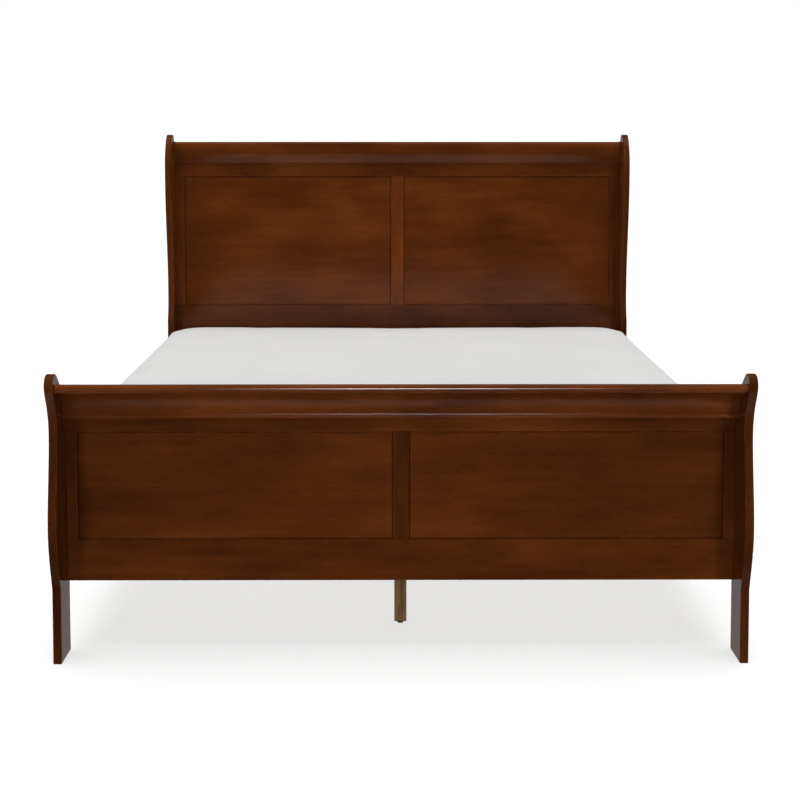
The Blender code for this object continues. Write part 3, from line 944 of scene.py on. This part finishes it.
def fit_outline(piece, half):
    """Stretches the filled cover sideways to the full length and width of its space."""
    middle = np.array(MATTRESS_MIDDLE)
    place = mesh_points(piece) - middle
    place[:, :2] *= half[:2] / np.abs(place[:, :2]).max(axis=0)
    set_points(piece, middle + place)


def square_rims(piece, half, rim):
    """Makes the round edges above and below squarer, as where a top panel is sewn to the sides."""
    points = mesh_points(piece)
    middle = np.array(MATTRESS_MIDDLE)
    place = points - middle
    outward, way = outline_offset(place, half[:2], MATTRESS_CORNER)
    across = np.maximum(outward + rim, 0)
    rise = np.maximum(np.abs(place[:, 2]) - (half[2] - rim), 0)
    round_reach = np.hypot(across, rise)
    square_reach = (across**4 + rise**4) ** 0.25
    grow = np.where(square_reach > 1e-6, round_reach / np.maximum(square_reach, 1e-6), 1) - 1
    points[:, :2] += way * (across * grow)[:, None]
    points[:, 2] += np.sign(place[:, 2]) * rise * grow
    set_points(piece, points)


BULGE_RISE = 0.06  # height over which the bulge grows to its full width
BULGE_DEPTH = 0.25  # how far in from the sides the bulge reaches


def widen_above_rails(piece, half, from_height, by):
    """Lets the sides bulge over the side rails that pinch them."""
    points = mesh_points(piece)
    outward, way = outline_offset(points - np.array(MATTRESS_MIDDLE), half[:2], MATTRESS_CORNER)
    free = np.clip((points[:, 2] - from_height) / BULGE_RISE, 0, 1)
    near = np.clip(1 + outward / BULGE_DEPTH, 0, 1)
    points[:, 0] += np.sign(points[:, 0]) * by * near * free * free * (3 - 2 * free)
    set_points(piece, points)


RAIL_CLEARANCE = 0.01  # how far above the rails the sides are free
SIDE_ROOM = 0.006  # how far the cover may stand past the CAD shape where it isn't free


def mattress_cover(look, half):
    """The filled cover, flat where it lies on the slats."""
    cover = copy_of_node("mattress", "mattress_cover")
    bpy.ops.object.mode_set(mode="EDIT")
    bpy.ops.mesh.select_all(action="SELECT")
    smaller = [1 - look.shrink / reach for reach in half]
    bpy.ops.transform.resize(value=smaller, center_override=MATTRESS_MIDDLE)
    bpy.ops.object.mode_set(mode="OBJECT")
    even = cover.modifiers.new("Even", "REMESH")
    even.mode = "VOXEL"
    even.voxel_size = look.mesh_size
    bpy.ops.object.modifier_apply(modifier=even.name)
    fill_with_foam(cover, look)
    pick(cover)
    finer = cover.modifiers.new("Finer", "SUBSURF")
    finer.levels = finer.render_levels = 1
    bpy.ops.object.modifier_apply(modifier=finer.name)
    fit_outline(cover, half)
    square_rims(cover, half, MATTRESS_RIM)
    seams = (MATTRESS_LOW.z + look.seam_from_face, MATTRESS_HIGH.z - look.seam_from_face)
    pull_in_seams(cover, look, seams, half[:2])
    free_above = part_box("side_rail_left")[1].z + RAIL_CLEARANCE
    widen_above_rails(cover, half, free_above, look.bulge)
    points = mesh_points(cover)
    low = np.array(MATTRESS_LOW)
    high = np.array(MATTRESS_HIGH)
    upper_room = np.where(points[:, 2] > free_above, look.bulge, 0)
    points[:, 2] = np.clip(points[:, 2], low[2], high[2] + look.swell)
    points[:, 0] = np.clip(
        points[:, 0], low[0] - SIDE_ROOM - upper_room, high[0] + SIDE_ROOM + upper_room
    )
    points[:, 1] = np.clip(points[:, 1], low[1] - SIDE_ROOM, high[1] + SIDE_ROOM)
    set_points(cover, points)
    smooth(cover, 60)
    return cover, seams


class SLEIGHBED_OT_make_mattress(bpy.types.Operator):
    """Fills the mattress cover and pipes its seams"""

    bl_idname = "sleigh_bed.make_mattress"
    bl_label = "Make Mattress"

    def execute(self, context):
        look = context.scene.sleigh_mattress
        half = np.array((MATTRESS_HIGH - MATTRESS_LOW) / 2)
        cover, seams = mattress_cover(look, half)
        dress(cover, material_named("knit_ticking"), "mattress", "mattress_ticking", "mattress")
        for label, height, wider in zip(LEVELS, seams, (0, look.bulge)):
            ring = piping_ring(f"mattress_piping_{label}", look, height, (half[0] + wider, half[1]))
            dress(ring, material_named("piping_tape"), "mattress", "mattress_ticking")
        return {"FINISHED"}


# Stage

# Each light's name, place, aim, width and height, and power in watts
KEY_LIGHTS = (
    ("left_key", (-2.7, -7.0, 1.25), (0, -1.0, 0.5), (1.0, 1.0), 85),
    ("right_key", (2.7, -7.0, 1.25), (0, -1.0, 0.5), (1.0, 1.0), 85),
)
CREST_LIGHTS = (
    ("crest_light", (0.08, -4.8, 1.05), (0.08, -1.1, 0.64), (1.6, 0.40), 60),
    ("crest_sparkle", (0.08, -4.8, 1.05), (0.08, -1.1, 0.64), (0.9, 0.40), 300),
)
TOP_LIGHT = ("top_light", (0, 0.8, 3.6), (0, 0.4, 0.5), (3.0, 2.2), 15)
EVEN_STRENGTH = 2.45  # watts per square metre, as is the next
FLOOR_STRENGTH = 8.4
SUN_SPREAD = math.radians(60)

FLOOR_RADIUS = 60
FLOOR_DROP = 0.0005  # keeps the floor just clear of the feet


def softbox(name, at, toward, size, power, glossy=True):
    """A rectangular studio light. One that isn't glossy lights the wood without showing in its lacquer."""
    lamp = bpy.data.lights.new(name, "AREA")
    lamp.shape = "RECTANGLE"
    lamp.size, lamp.size_y = size
    lamp.energy = power
    light = bpy.data.objects.new(name, lamp)
    bpy.context.scene.collection.objects.link(light)
    light.location = at
    light.rotation_euler = (Vector(toward) - Vector(at)).to_track_quat("-Z", "Y").to_euler()
    light.visible_glossy = glossy
    light.visible_camera = False
    return light


def studio_world(color, from_above, from_below, mirrored, mirrored_below):
    """Plain pale surroundings that light the bed evenly. The lacquer mirrors them behind and below it."""
    world = bpy.data.worlds.new("studio")
    bpy.context.scene.world = world
    world.use_nodes = True
    tree = world.node_tree
    background = tree.nodes["Background"]
    background.inputs["Color"].default_value = (*color, 1.0)
    path = add_node(tree, "LightPath").outputs
    generated = add_node(tree, "TexCoord").outputs["Generated"]
    way = add_node(tree, "SeparateXYZ", Vector=generated).outputs
    ambient = spread(tree, way[2], -0.5, 0.4, from_below, from_above)
    soft = math_node(tree, "MULTIPLY", path["Is Diffuse Ray"], ambient)
    far_side = spread(tree, way[1], 0.6, 0.9, 0.0, mirrored)
    under_horizon = spread(tree, way[2], 0.08, 0.0)
    behind = math_node(tree, "MULTIPLY", far_side, under_horizon)
    below = spread(tree, way[2], -0.72, -0.92, 0.0, mirrored_below)
    shine = math_node(tree, "MULTIPLY", path["Is Glossy Ray"], math_node(tree, "ADD", behind, below))
    unmirrored = math_node(tree, "ADD", path["Is Camera Ray"], soft)
    strength = math_node(tree, "ADD", unmirrored, shine)
    tree.links.new(strength, background.inputs["Strength"])


def pale_floor(color):
    """A wide round floor that the lacquer doesn't mirror."""
    bpy.ops.object.select_all(action="DESELECT")
    bpy.ops.mesh.primitive_circle_add(
        vertices=64, radius=FLOOR_RADIUS, fill_type="NGON", location=(0, 0, -FLOOR_DROP)
    )
    floor = bpy.context.object
    floor.name = floor.data.name = "studio_floor"
    bpy.ops.object.transform_apply()
    material, _, shader = new_material("floor_paint", 0.9, specular=0.1)
    shader.inputs["Base Color"].default_value = (*color, 1.0)
    floor.data.materials.append(material)
    floor.visible_glossy = False
    floor.visible_diffuse = False
    return floor


def shine_only_on(light, piece):
    """Limits a light to one object, and gives the collection that holds it."""
    alone = bpy.data.collections.new(light.name)
    alone.objects.link(piece)
    light.light_linking.receiver_collection = alone
    return alone


def sunlight(name, strength, spread_angle, only=None):
    """An even light from straight above. only limits it, and what can shade it, to one object."""
    sun = bpy.data.lights.new(name, "SUN")
    sun.energy = strength
    sun.angle = spread_angle
    light = bpy.data.objects.new(name, sun)
    light.visible_glossy = False
    bpy.context.scene.collection.objects.link(light)
    if only:
        light.light_linking.blocker_collection = shine_only_on(light, only)


class SLEIGHBED_OT_set_stage(bpy.types.Operator):
    """Sets the floor, the studio lights and the camera"""

    bl_idname = "sleigh_bed.set_stage"
    bl_label = "Set Stage"

    def execute(self, context):
        scene = context.scene
        look = scene.sleigh_stage
        scene.view_settings.view_transform = "Standard"
        floor = pale_floor(look.floor)
        studio_world(
            (1.0, 1.0, 1.0), from_above=0.30, from_below=0.42, mirrored=0.72, mirrored_below=0.5
        )
        for light in KEY_LIGHTS:
            softbox(*light, glossy=False)
        crest = bpy.data.objects["footboard_crest_finished"]
        for light in CREST_LIGHTS:
            strip = softbox(*light)
            strip.visible_diffuse = False
            shine_only_on(strip, crest)
        softbox(*TOP_LIGHT)
        sunlight("even_light", EVEN_STRENGTH, SUN_SPREAD)
        sunlight("floor_light", FLOOR_STRENGTH, SUN_SPREAD, only=floor)
        lens = bpy.data.cameras.new("camera")
        lens.lens = look.lens
        lens.sensor_width = 36
        lens.shift_y = look.rise
        camera = bpy.data.objects.new("camera", lens)
        camera.location = look.camera_at
        camera.rotation_euler = (math.radians(90) - look.tilt, 0, -look.turn)
        scene.collection.objects.link(camera)
        scene.camera = camera
        return {"FINISHED"}


# Add-on


PROPERTY_GROUPS = (
    (SLEIGHBED_PG_wood, "sleigh_wood"),
    (SLEIGHBED_PG_mattress, "sleigh_mattress"),
    (SLEIGHBED_PG_stage, "sleigh_stage"),
)
OPERATORS = (
    SLEIGHBED_OT_finish_end_boards,
    SLEIGHBED_OT_finish_side_rails,
    SLEIGHBED_OT_finish_slats,
    SLEIGHBED_OT_finish_support_legs,
    SLEIGHBED_OT_make_fittings,
    SLEIGHBED_OT_make_glides,
    SLEIGHBED_OT_make_mattress,
    SLEIGHBED_OT_set_stage,
)


class SLEIGHBED_PT_panel(bpy.types.Panel):
    """Lists the steps that finish the bed, and their settings"""

    bl_idname = "SLEIGHBED_PT_panel"
    bl_label = "Sleigh Bed"
    bl_space_type = "VIEW_3D"
    bl_region_type = "UI"
    bl_category = "Sleigh Bed"

    def draw(self, context):
        for operator in OPERATORS:
            self.layout.operator(operator.bl_idname)
        for kind, attribute in PROPERTY_GROUPS:
            settings = getattr(context.scene, attribute)
            box = self.layout.box()
            for label in kind.__annotations__:
                box.prop(settings, label)


def register():
    for kind, attribute in PROPERTY_GROUPS:
        bpy.utils.register_class(kind)
        setattr(bpy.types.Scene, attribute, bpy.props.PointerProperty(type=kind))
    for kind in (*OPERATORS, SLEIGHBED_PT_panel):
        bpy.utils.register_class(kind)


def unregister():
    for kind in (SLEIGHBED_PT_panel, *reversed(OPERATORS)):
        bpy.utils.unregister_class(kind)
    for kind, attribute in reversed(PROPERTY_GROUPS):
        delattr(bpy.types.Scene, attribute)
        bpy.utils.unregister_class(kind)


def main():
    register()
    bpy.ops.sleigh_bed.finish_end_boards()
    bpy.ops.sleigh_bed.finish_side_rails()
    bpy.ops.sleigh_bed.finish_slats()
    bpy.ops.sleigh_bed.finish_support_legs()
    bpy.ops.sleigh_bed.make_fittings()
    bpy.ops.sleigh_bed.make_glides()
    bpy.ops.sleigh_bed.make_mattress()
    bpy.ops.sleigh_bed.set_stage()


if __name__ == "__main__":
    main()
